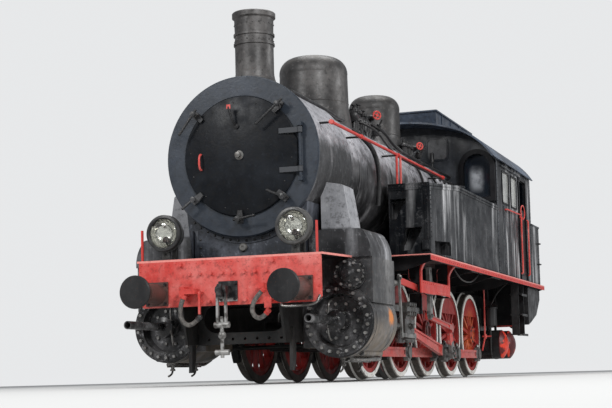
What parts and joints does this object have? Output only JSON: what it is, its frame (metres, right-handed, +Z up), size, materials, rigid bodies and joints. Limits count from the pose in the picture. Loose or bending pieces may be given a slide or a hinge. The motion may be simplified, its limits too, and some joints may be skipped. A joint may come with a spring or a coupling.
{
  "type": "five-axle coupled tank locomotive",
  "caption": "Standard-gauge steam tank locomotive with five coupled axles, outside cylinders, side tanks, two domes, cab and coal bunker; wheels, rods, crossheads and doors move.",
  "frame": {"origin": "on the plane of the flange tips, under the middle of the length over buffers", "axes": "+Z up, -Y the front (smokebox) end, +X the left-hand side"},
  "size_m": [3.12, 12.66, 4.4628],
  "materials": {
    "black_paint": "weathered satin",
    "boiler_black": "weathered satin",
    "smokebox_black": "matt",
    "dome_brown": "dusty matt",
    "frame_red": "satin",
    "beam_red": "satin",
    "bare_steel": "worn",
    "tyre_white": "worn edge on steel",
    "cast_grey": "oily",
    "glass": "clear",
    "lamp_grey": "satin",
    "hose_rubber": "matt"
  },
  "bodies": {
    "locomotive": {"main_frames": "frame_red", "axleboxes": "cast_grey", "frame_stretchers": "black_paint", "buffer_beams": "beam_red", "buffers": "black_paint", "screw_couplings": "bare_steel", "front_deck": "beam_red", "running_boards": "frame_red", "smokebox_saddle": "black_paint", "smokebox": "smokebox_black", "boiler": "boiler_black", "chimney": "smokebox_black", "steam_dome": "dome_brown", "sand_dome": "dome_brown", "side_tanks": "black_paint", "cab_roof": "black_paint", "cab_sides": "black_paint", "cab_front": "black_paint", "cab_rear": "black_paint", "cab_floor": "black_paint", "cab_windows": "glass", "coal_bunker": "black_paint", "rear_tanks": "black_paint", "cylinder_casings": "black_paint", "cylinders": "cast_grey", "cylinder_covers": "cast_grey", "slide_bars": "bare_steel", "motion_brackets": "frame_red", "valve_gear": "bare_steel", "headlamps": "lamp_grey", "boiler_handrails": "black_paint", "cab_handrails": "frame_red", "cab_steps": "black_paint", "air_reservoirs": "frame_red", "brake_cylinders": "black_paint", "brake_gear": "cast_grey", "springs": "cast_grey", "brake_cocks": "beam_red", "brake_hose_left": "hose_rubber", "brake_hose_right": "hose_rubber", "hose_heads": "cast_grey"},
    "wheelset_1": {"wheel_centres_1": "frame_red", "tyres_1": "tyre_white"},
    "wheelset_2": {"wheel_centres_2": "frame_red", "tyres_2": "tyre_white"},
    "wheelset_3": {"wheel_centres_3": "frame_red", "tyres_3": "tyre_white"},
    "wheelset_4": {"wheel_centres_4": "frame_red", "tyres_4": "tyre_white"},
    "wheelset_5": {"wheel_centres_5": "frame_red", "tyres_5": "tyre_white"},
    "coupling_rod_left": {"coupling_rod_left": "frame_red"},
    "crosshead_left": {"crosshead_left": "bare_steel"},
    "main_rod_left": {"main_rod_left": "frame_red"},
    "cab_door_left": {"cab_door_left": "black_paint"},
    "coupling_rod_right": {"coupling_rod_right": "frame_red"},
    "crosshead_right": {"crosshead_right": "bare_steel"},
    "main_rod_right": {"main_rod_right": "frame_red"},
    "cab_door_right": {"cab_door_right": "black_paint"},
    "smokebox_door": {"smokebox_door": "smokebox_black"}
  },
  "joints": [
    {"name": "wheelset_1_turn", "type": "hinge", "parent": "locomotive", "child": "wheelset_1", "pos_m": [0, -3.05, 0.703], "axis": [1, 0, 0], "continuous": true},
    {"name": "wheelset_2_turn", "type": "hinge", "parent": "locomotive", "child": "wheelset_2", "pos_m": [0, -1.6, 0.703], "axis": [1, 0, 0], "continuous": true},
    {"name": "wheelset_3_turn", "type": "hinge", "parent": "locomotive", "child": "wheelset_3", "pos_m": [0, -0.15, 0.703], "axis": [1, 0, 0], "continuous": true},
    {"name": "wheelset_4_turn", "type": "hinge", "parent": "locomotive", "child": "wheelset_4", "pos_m": [0, 1.3, 0.703], "axis": [1, 0, 0], "continuous": true},
    {"name": "wheelset_5_turn", "type": "hinge", "parent": "locomotive", "child": "wheelset_5", "pos_m": [0, 2.75, 0.703], "axis": [1, 0, 0], "continuous": true},
    {"name": "coupling_rod_left_pivot", "type": "hinge", "parent": "wheelset_3", "child": "coupling_rod_left", "pos_m": [0.915, -0.15, 0.373], "axis": [1, 0, 0], "continuous": true},
    {"name": "crosshead_left_slide", "type": "slide", "parent": "locomotive", "child": "crosshead_left", "axis": [0, 1, 0], "range_m": [-0.3555, 0.3045]},
    {"name": "main_rod_left_pivot", "type": "hinge", "parent": "crosshead_left", "child": "main_rod_left", "pos_m": [1.075, -2.27452, 0.703], "axis": [1, 0, 0], "range_deg": [0, 17.66]},
    {"name": "coupling_rod_right_pivot", "type": "hinge", "parent": "wheelset_3", "child": "coupling_rod_right", "pos_m": [-0.915, 0.18, 0.703], "axis": [1, 0, 0], "continuous": true},
    {"name": "crosshead_right_slide", "type": "slide", "parent": "locomotive", "child": "crosshead_right", "axis": [0, 1, 0], "range_m": [-0.66, 0]},
    {"name": "main_rod_right_pivot", "type": "hinge", "parent": "crosshead_right", "child": "main_rod_right", "pos_m": [-1.075, -1.97, 0.703], "axis": [1, 0, 0], "range_deg": [-8.83, 8.83]},
    {"name": "smokebox_door_hinge", "type": "hinge", "parent": "locomotive", "child": "smokebox_door", "pos_m": [0.745, -5.312, 2.659], "axis": [0, 0, 1], "range_deg": [0, 110]},
    {"name": "cab_door_left_hinge", "type": "hinge", "parent": "locomotive", "child": "cab_door_left", "pos_m": [1.485, 3.814, 2.2], "axis": [0, 0, 1], "range_deg": [0, 85]},
    {"name": "cab_door_right_hinge", "type": "hinge", "parent": "locomotive", "child": "cab_door_right", "pos_m": [-1.485, 3.814, 2.2], "axis": [0, 0, 1], "range_deg": [-85, 0]}
  ],
  "couplings": [
    {"joint": "wheelset_1_turn", "follows": "wheelset_3_turn", "ratio": 1},
    {"joint": "wheelset_2_turn", "follows": "wheelset_3_turn", "ratio": 1},
    {"joint": "wheelset_4_turn", "follows": "wheelset_3_turn", "ratio": 1},
    {"joint": "wheelset_5_turn", "follows": "wheelset_3_turn", "ratio": 1},
    {"joint": "coupling_rod_left_pivot", "follows": "wheelset_3_turn", "ratio": -1},
    {"joint": "coupling_rod_right_pivot", "follows": "wheelset_3_turn", "ratio": -1}
  ]
}
